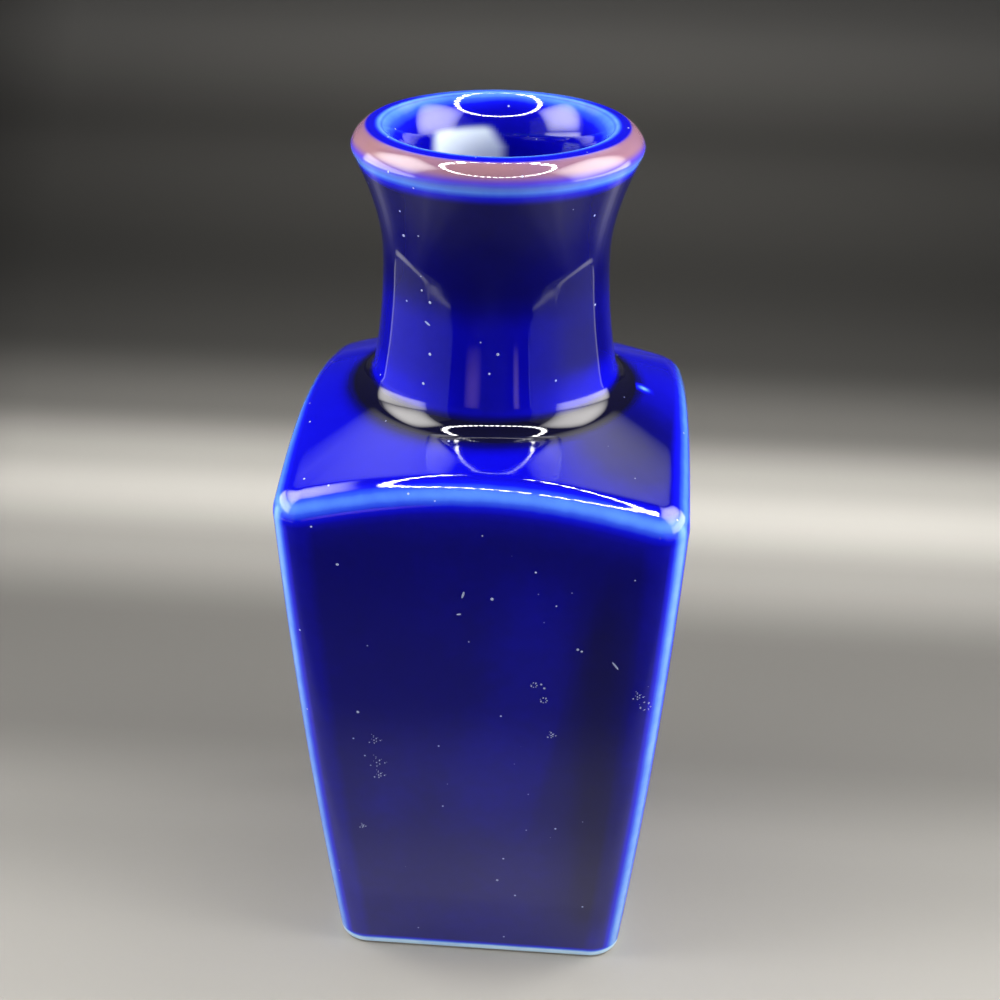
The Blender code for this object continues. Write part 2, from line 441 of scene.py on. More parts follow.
@dataclass
class VaseShell:
    """The whole vase as one closed surface: rows up the outside and down the inside."""

    outline: SquareOutline = field(default_factory=SquareOutline)
    body: Body = field(default_factory=Body)
    neck: Neck = field(default_factory=Neck)
    thin: Break = field(default_factory=Break)
    reach: Reach = field(default_factory=Reach)
    run: Run = field(default_factory=Run)
    foot_rows: int = 10
    hem_rows: int = 22
    wall_rows: int = 80
    edge_rows: int = 26
    roof_rows: int = 16
    ceiling_rows: int = 4
    root_rows: int = 16
    neck_rows: int = 30
    flare_rows: int = 30
    lip_rows: int = 12
    throat_rows: int = 26
    inner_wall_rows: int = 24
    floor_rows: int = 10
    edge_passes: int = 6
    hem: float = 0.0033
    drawn_in: float = 0.9998  # keeps the shell inside the solid's box
    crease: float = math.radians(50)

    def __post_init__(self) -> None:
        """Works out the columns that every strip shares."""
        self.square, self.out = self.outline.columns()
        half = np.array([[self.body.shoulder_width / 2]])
        plan = self.on_square(half, self.body.corner_radius)
        self.angle = np.arctan2(plan[..., 1], plan[..., 0])

    def on_square(self, half_width: np.ndarray, radius: np.ndarray | float) -> np.ndarray:
        """Plan points on rounded squares: (w - r) times the square's point plus r n."""
        straight = (half_width - radius)[..., None]
        return straight * self.square + np.asarray(radius)[..., None] * self.out

    def inset(self, half_width: np.ndarray, radius: float, depth: np.ndarray) -> np.ndarray:
        """The outline drawn a depth inside a rounded square, its corners never quite sharp."""
        shrunk = np.maximum(radius - depth, radius * self.outline.least_corner_share)
        return self.on_square(half_width - depth, shrunk)

    def lean(self, swelling: float) -> np.ndarray:
        """How far the wall leans out at each column: the arctangent of its widening."""
        spread = (self.body.shoulder_width - self.body.foot_width) / 2 + swelling
        return np.arctan(spread / self.body.shoulder_height * (self.square * self.out).sum(1))

    @staticmethod
    def raised(plan: np.ndarray, height: np.ndarray) -> np.ndarray:
        """Plan points and their heights joined into points in space."""
        height = np.broadcast_to(height, plan.shape[:-1])
        return np.concatenate([plan, height[..., None]], axis=-1)

    def turned(self, radius: np.ndarray, height: np.ndarray) -> np.ndarray:
        """A profile turned about the axis: (r cos a, r sin a, z) at each column's angle a.

        Args:
            radius: The radius of each row, as a column of rows.
            height: The height of each row, in the same shape.

        Returns:
            The points, row by row.
        """
        radius = np.broadcast_to(radius, (radius.shape[0], self.angle.shape[1]))
        plan = np.stack([radius * np.cos(self.angle), radius * np.sin(self.angle)], axis=-1)
        return self.raised(plan, height)

    def edge_round(self, inside: float, corner_radius: float,
                   edge_radius: float) -> tuple[np.ndarray, np.ndarray]:
        """The rounded edge between a wall and the roof over it, from the wall up.

        The sharp edge is found first: the wall is followed up to the roof and the
        roof is read again over that place, a few times. Each column then has an arc
        tangent to its wall and to the roof's slope across the edge.

        Args:
            inside: How far this wall and roof lie inside the outer ones.
            corner_radius: The upright corners' radius.
            edge_radius: The arc's radius.

        Returns:
            The points, and how far round the arc each row is, from 0 to 1.
        """
        drop = inside / math.cos(self.body.roof_slope)
        height = np.full((1, len(self.square)), self.body.shoulder_height)
        for _ in range(self.edge_passes):
            half_width = self.body.half_width(height) - inside
            plan = self.on_square(half_width, corner_radius)
            distance = np.linalg.norm(plan, axis=-1)
            height = self.body.roof_height(distance) - drop
        rise = math.tan(self.body.roof_slope) * (plan * self.out).sum(-1) / distance
        share = shares(self.edge_rows)
        step, up = rounding(edge_radius, -self.lean(-4 * self.body.bow)[None, :],
                            UPRIGHT - np.arctan(rise), share)
        return self.raised(self.inset(half_width, corner_radius, -step), height + up), share

    def corner_thin(self) -> np.ndarray:
        """How thin the glaze is round each corner: a bump on its flank, past the middle.

        With d the angle from the bump's middle to the column's normal, it is a bell on
        the flank's side and exp(-(d / w)^3) on the side of the front, where it is wider.

        Returns:
            One value a column, from 0 to 1.
        """
        turn = np.arctan2(np.abs(self.out[:, 0]), np.abs(self.out[:, 1]))
        away = turn - self.reach.corner_turn
        front = np.exp(-np.abs(away / self.reach.corner_front) ** 3)
        return np.where(away < 0, front, bell(away, self.reach.corner_flank))

    def foot(self) -> Strip:
        """The flat ring, its outer rounding and the shallow hollow under the foot.

        Two rows make the hollow and the ring's inner edge, and the rounding is an arc.

        Returns:
            The foot's strip, from the hollow's edge up to the wall.
        """
        body = self.body
        ring = body.foot_radius + body.ring_width
        half = np.array([[body.foot_width / 2]])
        recess = [self.raised(self.inset(half, body.corner_radius, depth), up)
                  for depth, up in ((ring + body.recess_draft, body.recess_depth), (ring, 0.0))]
        share = shares(self.foot_rows)
        step, up = rounding(body.foot_radius, -UPRIGHT, -self.lean(4 * body.bow)[None, :], share)
        edge = self.raised(self.inset(half, body.corner_radius, -step), up)
        points = np.concatenate([*recess, edge])
        bare = 1 - ease(points[..., 2], *self.reach.foot_bare)
        return Strip(points, {Layer.THIN: np.full(1, self.thin.foot), Layer.BARE: bare})

    def wall(self, foot: np.ndarray, edge: np.ndarray) -> Strip:
        """The wall between the foot's rounding and the shoulder's, row by even row.

        The glaze is as thin as the face, with bells under the edge and beside the
        corners, or as the corner's bump or the foot's line where that is more. The
        painted reflection of the floor is (1 - z / h)^p, which fades out up to its height h.

        Args:
            foot: The foot strip's points.
            edge: The rounded edge's points.

        Returns:
            The wall's strip, without the rows that its neighbours hold.
        """
        low, top = foot[-1:, :, 2], edge[:1, :, 2]
        hem = low + self.hem * shares(self.hem_rows)[1:-1]
        rest = low + self.hem + (top - low - self.hem) * shares(self.wall_rows)[:-1]
        height = np.concatenate([hem, rest])
        plan = self.on_square(self.body.half_width(height), self.body.corner_radius)
        points = self.raised(plan, height)
        thin, reach, corner = self.thin, self.reach, self.corner_thin()
        from_corner = 1 - np.abs(self.square).min(axis=1)
        face = (thin.wall + thin.below_edge * bell(top - height, reach.below_edge)
                + thin.beside_corner * bell(from_corner, reach.beside_corner)
                + self.run.on_front(points))
        foot_line = bell(np.maximum(height - reach.foot_line, 0.0), reach.foot_fade)
        rim = np.maximum(thin.corner * corner, thin.foot * foot_line)
        # Painted reflection of the floor, kept off the corners.
        low_share = np.clip(1 - height / reach.reflection_height, 0.0, 1.0)
        return Strip(points, {Layer.THIN: np.maximum(face, rim),
                              Layer.FLOOR_REFLECTION: low_share ** reach.reflection_power * (1 - corner)})

    def shoulder(self) -> Strip:
        """The rounded edge over each wall, where the glaze thins most in the middle.

        The thinness eases from the wall's to the roof's, under a bell along the edge
        and the corner's own bump.

        Returns:
            The edge's strip, from the wall up to the roof.
        """
        points, share = self.edge_round(0.0, self.body.corner_radius, self.body.edge_radius)
        thin, reach = self.thin, self.reach
        wall = thin.wall + thin.below_edge
        # The roof's value, darkened by the painted shadow of the neck.
        roof = thin.roof + (thin.pool - thin.roof) * self.pooled_shade(points)
        base = wall + (roof - wall) * ease(share, *reach.shoulder_blend)
        band = thin.edge * bell(share - reach.shoulder_middle, reach.shoulder_fade)
        corner = thin.corner * self.corner_thin() * (1 - ease(share, *reach.corner_end))
        return Strip(points, {Layer.THIN: np.maximum(np.maximum(base, band), corner)})

    def roof(self, edge: np.ndarray, root: np.ndarray) -> Strip:
        """The sloping roof: straight lines from the rounded edge in to the neck's root.

        The glaze darkens by a bell of the distance to the root, pooled glaze with painted
        shade, or by the painted shadow of the neck where that is more, and one small spot
        is a painted glint.

        Args:
            edge: The rounded edge's points.
            root: The points of the neck's root.

        Returns:
            The roof's strip, without the rows that its neighbours hold.
        """
        share = shares(self.roof_rows)[1:-1, :, None]
        points = edge[-1:] + (root[:1] - edge[-1:]) * share
        distance, root_distance = (np.linalg.norm(place[..., :2], axis=-1)
                                   for place in (points, root[0]))
        from_root = np.maximum(distance - root_distance + self.reach.roof_pool_shade, 0.0)
        # Pooled glaze and painted shade by the root, or the painted shadow of the neck.
        pooled_shade = np.maximum(bell(from_root, self.reach.roof_fade), self.pooled_shade(points))
        thin = self.thin.roof + (self.thin.pool - self.thin.roof) * pooled_shade
        # Painted glint on the roof.
        spot = self.run.painted_glint.at(points[..., 0], points[..., 1])
        return Strip(points, {Layer.THIN: np.maximum(thin, spot)})

    def pooled_shade(self, points: np.ndarray) -> np.ndarray:
        """The painted shadow of the neck on the roof: one wide soft bump over its right front."""
        return self.run.pool.at(points[..., 0], points[..., 1])

    def root(self, height: float) -> tuple[Strip, np.ndarray, np.ndarray]:
        """The hollow curve between roof and neck: an arc tangent to both.

        The glaze pools in its lower half, darkened there by painted shade too, and above
        that it eases from the roof's thinness to the neck's, which is lighter by |cos a| at
        the sides.

        Args:
            height: Where roof and neck would meet in a sharp corner.

        Returns:
            The strip, the rows as radius and height, and their outward normals' angles.
        """
        neck, thin = self.neck, self.thin
        roof_normal = UPRIGHT - self.body.roof_slope
        share = shares(self.root_rows)
        step, up = rounding(-neck.root_fillet, roof_normal, neck.root_lean, share)
        rows = np.hstack([neck.root_diameter / 2 + step, height + up])
        # Glaze pooled in the hollow, darkened further by painted shade.
        pooled_shade = 1 - ease(share, *self.reach.root_pool_shade)
        top = thin.neck + thin.above_root * np.abs(np.cos(self.angle))
        beside = thin.roof + (top - thin.roof) * ease(share, *self.reach.root_blend)
        strip = Strip(self.turned(rows[:, :1], rows[:, 1:]),
                      {Layer.THIN: beside + (thin.pool - beside) * pooled_shade})
        return strip, rows, roof_normal + (neck.root_lean - roof_normal) * share

    def straight(self, root_end: np.ndarray, waist_height: float) -> tuple[Strip, np.ndarray]:
        """The neck from its root to its waist: a cubic from the root's lean to upright.

        The glaze eases to the flare's, darker as painted shade under the lip, lighter over
        the root's sides by a bell, and darker on the right front, partly deeper glaze and
        partly painted dark reflection, by a bell round the neck and a window up it.

        Args:
            root_end: Radius and height where the root ends.
            waist_height: Height of the waist.

        Returns:
            The strip, and its rows as radius and height.
        """
        neck, thin, reach = self.neck, self.thin, self.reach
        rise = waist_height - root_end[1]
        share = shares(self.neck_rows)[1:]
        radius = sweep(root_end[0], neck.waist_diameter / 2, -math.tan(neck.root_lean) * rise,
                       0.0, share)
        rows = np.hstack([radius, root_end[1] + rise * share])
        sides = np.abs(np.cos(self.angle))
        along = (thin.neck + (thin.flare - thin.neck) * ease(share, *reach.flare_blend)
                 + thin.above_root * sides * bell(share, reach.above_root)
                 - thin.right_neck * bell(self.angle - reach.right_turn, reach.right_fade)
                 * window(share, reach.right_rise, reach.right_fall))
        return Strip(self.turned(rows[:, :1], rows[:, 1:]), {Layer.THIN: along}), rows

    def lip_corners(self, waist_height: float) -> np.ndarray:
        """The lip's three sharp corners, each one step in radius and height from the last.

        Args:
            waist_height: Height of the waist.

        Returns:
            Radius and height of the edge, the ridge and the mouth, one a row.
        """
        neck = self.neck
        steps = np.array([[neck.lip_diameter / 2, waist_height + neck.waist_to_lip],
                          [-neck.bevel_width, neck.bevel_height],
                          [-neck.rim_width, neck.rim_rise]])
        return np.cumsum(steps, axis=0)

    def lip_profile(self, corners: np.ndarray) -> np.ndarray:
        """The lip's rows: round its edge, over the bevel, round the ridge and the mouth.

        The bevel is two facets with one wide arc between them, whose radius leaves
        room for the edge's rounding: what a facet has left over tan(crown).

        Args:
            corners: The sharp edge, ridge and mouth.

        Returns:
            Radius and height of each row.
        """
        neck = self.neck
        edge, ridge, mouth = corners
        bevel_normal = math.atan2(neck.bevel_width, neck.bevel_height)
        rim_normal = UPRIGHT - math.atan2(neck.rim_rise, neck.rim_width)
        low, high = bevel_normal - neck.bevel_crown, bevel_normal + neck.bevel_crown
        facet = math.hypot(neck.bevel_width, neck.bevel_height) / 2 / math.cos(neck.bevel_crown)
        crown = edge + facet * np.array([-math.sin(low), math.cos(low)])
        taken = neck.lip_radius * math.tan(max(low + neck.flare_lean, rim_normal - high) / 2)
        crown_radius = (facet - taken) / math.tan(neck.bevel_crown)
        share = shares(self.lip_rows)
        rounds = [corner + np.hstack(rounding(radius, first, last, share))
                  for corner, radius, first, last in (
                      (edge, neck.lip_radius, -neck.flare_lean, low),
                      (crown, crown_radius, low, high),
                      (ridge, neck.lip_radius, high, rim_normal),
                      (mouth, neck.mouth_radius, rim_normal, math.pi - neck.throat_lean))]
        rim = rounds[2][-1] + (rounds[3][0] - rounds[2][-1]) * share[1:-1]
        return np.concatenate([rounds[0], rounds[1][1:-1], rounds[2], rim, rounds[3]])

    def lip(self, profile: np.ndarray, corners: np.ndarray) -> Strip:
        """The lip, where the glaze runs off both edges and blushes on the bevel.

        The blush is a faint step and a full one up the bevel, which end at the ridge.

        Args:
            profile: Radius and height of each row.
            corners: The sharp edge, ridge and mouth.

        Returns:
            The lip's strip.
        """
        thin, reach = self.thin, self.reach
        edge, ridge, mouth = corners
        from_edge = np.linalg.norm(profile - edge + np.array([0, reach.edge_drop]), axis=1)
        from_mouth = np.linalg.norm(profile - mouth, axis=1)
        across = ((profile - edge) @ (ridge - edge) / ((ridge - edge) ** 2).sum())[:, None]
        blush = (thin.first_blush * ease(across, *reach.first_blush)
                 + (1 - thin.first_blush) * ease(across, *reach.full_blush))
        points = self.turned(profile[:, :1], profile[:, 1:])
        rim = thin.rim + thin.rear_rim * ease(points[..., 1], *reach.rear_rim)
        edges = np.maximum(thin.lip_edge * bell(from_edge, reach.edge_fade),
                           thin.mouth * bell(from_mouth, reach.rim_fade))
        return Strip(points, {Layer.THIN: np.maximum(rim, edges[:, None]),
                              Layer.BLUSH: blush * (1 - ease(across, *reach.blush_end))})

    def flare(self, waist_height: float, end: float,
              edge_height: float) -> tuple[Strip, np.ndarray]:
        """The neck from its waist to the lip: a cubic from upright to the lip's lean.

        The glaze thins by a bell just below the lip's edge.

        Args:
            waist_height: Height of the waist.
            end: Height of the lip's first row, where the flare stops.
            edge_height: Height of the bevel's sharp lower edge.

        Returns:
            The strip, and its rows as radius and height.
        """
        neck, thin = self.neck, self.thin
        share = shares(self.flare_rows)[1:-1] * ((end - waist_height) / neck.waist_to_lip)
        radius = sweep(neck.waist_diameter / 2, neck.lip_diameter / 2, 0.0,
                       math.tan(neck.flare_lean) * neck.waist_to_lip, share)
        height = waist_height + neck.waist_to_lip * share
        below = bell(edge_height - self.reach.below_lip - height, self.reach.below_lip_fade)
        strip = Strip(self.turned(radius, height),
                      {Layer.THIN: np.maximum(thin.flare, thin.lip_edge * below)})
        return strip, np.hstack([radius, height])

    def bore(self, start: np.ndarray, mouth_height: float, outer: np.ndarray) -> Strip:
        """The throat and the bore inside the neck, from the top down.

        The throat is an arc, r = bore + R (1 - cos t), that ends upright in the bore,
        and the bore keeps the wall's thickness inside the neck's outer rows.

        Args:
            start: Radius and height of the lip's last row.
            mouth_height: Height of the sharp mouth.
            outer: The neck's outer rows.

        Returns:
            The strip.
        """
        neck, thin, reach = self.neck, self.thin, self.reach
        least = neck.waist_diameter / 2 - self.body.wall
        turn = neck.throat_lean * (1 - shares(self.throat_rows)[1:])
        arc = (start[0] - least) / (1 - math.cos(neck.throat_lean))
        throat = np.hstack([least + arc * (1 - np.cos(turn)),
                            start[1] - arc * (math.sin(neck.throat_lean) - np.sin(turn))])
        rows = np.concatenate([throat, outer[::-1] - np.array([self.body.wall, 0.0])])
        points = self.turned(rows[:, :1], rows[:, 1:])
        fade = reach.mouth_fade + reach.mouth_fade_aside * np.abs(np.cos(self.angle))
        lit = thin.inside + (thin.mouth - thin.inside) * bell(mouth_height - rows[:, 1:], fade)
        # The bore's back wall carries the painted highlight.
        return Strip(points, {Layer.THIN: lit, Layer.THROAT_HIGHLIGHT: self.run.in_bore(points)})

    def neck_strips(self) -> dict[str, Strip]:
        """Root, neck, flare, lip, bore and the curve under the root, in that order.

        The curve under the root keeps the wall's thickness along the root's normals.

        Returns:
            The strips by name, in the order that they follow each other.
        """
        root_height = self.body.roof_height(np.array(self.neck.root_diameter / 2))
        waist_height = root_height + self.neck.root_to_waist
        root, root_rows, normal = self.root(root_height)
        straight, outer = self.straight(root_rows[-1], waist_height)
        corners = self.lip_corners(waist_height)
        lip_rows = self.lip_profile(corners)
        flare, flare_rows = self.flare(waist_height, lip_rows[0, 1], corners[0, 1])
        self.profile = np.concatenate([outer, flare_rows])
        inner = root_rows - self.body.wall * np.hstack([np.cos(normal), np.sin(normal)])
        under = Strip(self.turned(inner[::-1, :1], inner[::-1, 1:]),
                      {Layer.THIN: np.full(1, self.thin.inside)})
        return {"root": root, "neck": straight, "flare": flare,
                "lip": self.lip(lip_rows, corners),
                "bore": self.bore(lip_rows[-1], corners[2, 1], outer), "under": under}

    def cavity(self, under: np.ndarray) -> Strip:
        """The underside of the roof, the inner wall and the floor, from the top down.

        The ceiling is a plain cone down to the rounded edge, so a few rows are enough for it.

        Args:
            under: The points under the neck's root.

        Returns:
            The cavity's strip.
        """
        body = self.body
        edge, _ = self.edge_round(body.wall, body.inner_corner_radius, body.inner_edge_radius)
        edge = edge[::-1]
        share = shares(self.ceiling_rows)[1:-1, :, None]
        ceiling = under[-1:] + (edge[:1] - under[-1:]) * share
        base = body.recess_depth + body.floor
        half = np.array([[body.half_width(base) - body.wall]])
        step, up = rounding(body.inner_floor_radius, -UPRIGHT, -self.lean(0.0)[None, :],
                            shares(self.floor_rows))
        floor = self.raised(self.inset(half, body.inner_corner_radius, -step), base + up)[::-1]
        top, low = edge[-1:, :, 2], floor[:1, :, 2]
        height = top + (low - top) * shares(self.inner_wall_rows)[1:-1]
        wall = self.raised(self.on_square(body.half_width(height) - body.wall,
                                          body.inner_corner_radius), height)
        return Strip(np.concatenate([ceiling, edge, wall, floor]),
                     {Layer.THIN: np.full(1, self.thin.inside)})

    def strips(self) -> list[Strip]:
        """Every strip of the shell, from the hollow under the foot to the floor inside.

        Returns:
            The strips in the order that they follow each other.
        """
        foot, shoulder = self.foot(), self.shoulder()
        parts = self.neck_strips()
        return [foot, self.wall(foot.points, shoulder.points), shoulder,
                self.roof(shoulder.points, parts["root"].points), *parts.values(),
                self.cavity(parts["under"].points)]

    def front(self, x: np.ndarray, z: np.ndarray) -> np.ndarray:
        """The front's y at given x and z: the flat face, or over it the round neck.

        On the neck it is -sqrt(r^2 - x^2), with the radius read from the neck's rows.

        Args:
            x: Distances to the right of the axis.
            z: Heights over the foot.

        Returns:
            The y of the outer surface, in the shape of x.
        """
        radius = np.interp(z, self.profile[:, 1], self.profile[:, 0])
        round_y = np.sqrt(np.maximum(radius ** 2 - x ** 2, 0.0))
        return -np.where(z < self.body.shoulder_height, self.body.half_width(z), round_y)

    def build(self, name: str) -> bpy.types.Object:
        """Makes the closed mesh, with a point at the middle of each end and the layers.

        Row i and column j of the grid is point i * columns + j, and each cell between
        two rows and two columns is one face; the last column joins the first.

        Args:
            name: The object's name.

        Returns:
            The finished object.
        """
        strips = self.strips()
        grid = np.concatenate([strip.points for strip in strips]) * self.drawn_in
        rows, columns = grid.shape[:2]
        ends = np.array([[0, 0, grid[0, 0, 2]], [0, 0, grid[-1, 0, 2]]])
        index = np.arange(rows * columns).reshape(rows, columns)
        after = np.roll(index, -1, axis=1)
        quads = np.stack([index[:-1], after[:-1], after[1:], index[1:]], axis=-1).reshape(-1, 4)
        first = np.stack([after[0], index[0], np.full(columns, rows * columns)], axis=-1)
        last = np.stack([index[-1], after[-1], np.full(columns, rows * columns + 1)], axis=-1)
        corners = np.concatenate([quads.ravel(), first.ravel(), last.ravel()])
        sizes = np.concatenate([np.full(len(quads), 4), np.full(2 * columns, 3)])

        mesh = bpy.data.meshes.new(name)
        points = np.concatenate([grid.reshape(-1, 3), ends])
        mesh.vertices.add(len(points))
        mesh.vertices.foreach_set("co", points.ravel())
        mesh.loops.add(len(corners))
        mesh.loops.foreach_set("vertex_index", corners)
        mesh.polygons.add(len(sizes))
        mesh.polygons.foreach_set("loop_start", np.concatenate([[0], np.cumsum(sizes)[:-1]]))
        mesh.update(calc_edges=True)
        mesh.shade_smooth()
        mesh.set_sharp_from_angle(angle=self.crease)
        for layer in Layer:
            values = np.concatenate([strip.layer(layer) for strip in strips]).ravel()
            capped = np.concatenate([values, [values[0], values[-1]]]).astype(np.float32)
            mesh.attributes.new(layer.value, "FLOAT", "POINT").data.foreach_set("value", capped)
        return placed(name, mesh)


@dataclass(frozen=True)
class Mark:
    """One small mark on the front: its kind, its middle, its half size and its turn."""

    kind: MarkKind
    x: float
    z: float
    size: float
    turn: float = 0.0


@dataclass(frozen=True)
class GlazeMarks:
    """Pale marks in the front's glaze, each a flat bead along small closed loops.

    A sway is three numbers, a middle, a size and a pace, for an uneven series without
    chance: middle + size sin(pace k).
    """

    loop_steps: int = 20
    bead_steps: int = 8
    bead: float = 0.00008
    rise: float = 0.00003
    cluster_dots: int = 17
    golden_turn: float = 2.4
    turn_sway: Sway = (0.0, 1.3, 2.1)
    cluster_sway: Sway = (0.75, 0.35, 5.3)
    ring_sway: Sway = (0.95, 0.12, 3.7)
    dot_sway: Sway = (0.0, 1.0, 1.7)
    dot_sizes: Span = (0.30, 0.45)
    flatness: float = 0.9
    marks: tuple[Mark, ...] = (
        Mark(MarkKind.DOT, -0.0208, 0.0815, 0.00022),
        Mark(MarkKind.DOT, 0.0023, 0.0767, 0.00026),
        Mark(MarkKind.SCRATCH, -0.00205, 0.0772, 0.00055, 1.3),
        Mark(MarkKind.SCRATCH, -0.0027, 0.0736, 0.00028, 0.2),
        Mark(MarkKind.DOT, 0.0154, 0.0682, 0.00022),
        Mark(MarkKind.DOT, 0.0160, 0.0679, 0.00018),
        Mark(MarkKind.SCRATCH, 0.0212, 0.0655, 0.00075, -0.95),
        Mark(MarkKind.RING, 0.0089, 0.0609, 0.00050),
        Mark(MarkKind.DOT, 0.0100, 0.0611, 0.00018),
        Mark(MarkKind.DOT, 0.0105, 0.0604, 0.00018),
        Mark(MarkKind.RING, 0.0105, 0.0580, 0.00055),
        Mark(MarkKind.RING, 0.0262, 0.0580, 0.00090),
        Mark(MarkKind.CLUSTER, 0.0250, 0.0598, 0.00110),
        Mark(MarkKind.CLUSTER, 0.0119, 0.0510, 0.00090),
        Mark(MarkKind.DOT, -0.0188, 0.0535, 0.00024),
        Mark(MarkKind.CLUSTER, -0.0163, 0.0479, 0.00130),
        Mark(MarkKind.CLUSTER, -0.0158, 0.0405, 0.00120),
        Mark(MarkKind.CLUSTER, -0.0160, 0.0432, 0.00170),
        Mark(MarkKind.CLUSTER, -0.0190, 0.0288, 0.00070),
        Mark(MarkKind.DOT, 0.0035, 0.0180, 0.00022),
        Mark(MarkKind.DOT, -0.0128, 0.1308, 0.00017),
        Mark(MarkKind.DOT, -0.0125, 0.1267, 0.00022),
        Mark(MarkKind.DOT, -0.0101, 0.1275, 0.00014),
        Mark(MarkKind.DOT, -0.0098, 0.1189, 0.00016),
        Mark(MarkKind.DOT, -0.0085, 0.1174, 0.00021),
        Mark(MarkKind.DOT, -0.0123, 0.1164, 0.00013),
        Mark(MarkKind.SCRATCH, -0.0089, 0.1141, 0.00040, -0.5),
        Mark(MarkKind.DOT, -0.0085, 0.1095, 0.00022),
        Mark(MarkKind.DOT, 0.0017, 0.1108, 0.00022),
        Mark(MarkKind.DOT, -0.0095, 0.1048, 0.00020),
    )

    def loops(self, mark: Mark) -> np.ndarray:
        """The loops that draw one mark: middle x and z, two half sizes, bead and turn each.

        A dot is a loop as small as its bead, and a scratch a long thin one. A cluster is
        dots at sqrt(k / n) of its size, each a golden turn on, and a ring is dots at
        nearly its whole size.

        Args:
            mark: The mark.

        Returns:
            One row a loop.
        """
        if mark.kind is MarkKind.DOT:
            return np.array([[mark.x, mark.z, mark.size / 2, mark.size / 2, mark.size / 2, 0.0]])
        if mark.kind is MarkKind.SCRATCH:
            return np.array([[mark.x, mark.z, mark.size, self.bead, self.bead, mark.turn]])
        step = np.arange(1, self.cluster_dots + 1)
        turn = step * self.golden_turn + swayed(step, self.turn_sway)
        within = np.sqrt(step / self.cluster_dots) * swayed(step, self.cluster_sway)
        around = swayed(step, self.ring_sway)
        reach = mark.size * (around if mark.kind is MarkKind.RING else within)
        least, extra = self.dot_sizes
        small = self.bead * (least + extra * swayed(step, self.dot_sway) ** 4)
        return np.stack([mark.x + reach * np.cos(turn),
                         mark.z + self.flatness * reach * np.sin(turn),
                         small, small, small, np.zeros(step.size)], axis=1)

    def build(self, name: str, shell: VaseShell) -> bpy.types.Object:
        """Makes all the marks as one mesh of closed beads.

        With t round the loop and p round the bead, a point lies at middle
        + turn((a + w cos p) cos t, (b + w cos p) sin t), raised off the front by h sin p.

        Args:
            name: The object's name.
            shell: The vase that they lie on.

        Returns:
            The finished object.
        """
        rows = np.concatenate([self.loops(mark) for mark in self.marks])[:, None, None, :]
        t = (np.arange(self.loop_steps) * 2 * math.pi / self.loop_steps)[None, :, None]
        p = (np.arange(self.bead_steps) * 2 * math.pi / self.bead_steps)[None, None, :]
        wide, tall, bead, turn = (rows[..., i] for i in (2, 3, 4, 5))
        along = (wide + bead * np.cos(p)) * np.cos(t)
        above = (tall + bead * np.cos(p)) * np.sin(t)
        x = rows[..., 0] + along * np.cos(turn) - above * np.sin(turn)
        z = rows[..., 1] + along * np.sin(turn) + above * np.cos(turn)
        y = shell.front(x, z) - self.rise * np.sin(p)
        points = np.stack(np.broadcast_arrays(x, y, z), axis=-1)
        index = np.arange(points[..., 0].size).reshape(points.shape[:3])
        next_t, next_p = np.roll(index, -1, axis=1), np.roll(index, -1, axis=2)
        quads = np.stack([index, next_p, np.roll(next_t, -1, axis=2), next_t], axis=-1)
        mesh = bpy.data.meshes.new(name)
        mesh.from_pydata(points.reshape(-1, 3).tolist(), [], quads.reshape(-1, 4).tolist())
        mesh.shade_smooth()
        return placed(name, mesh)


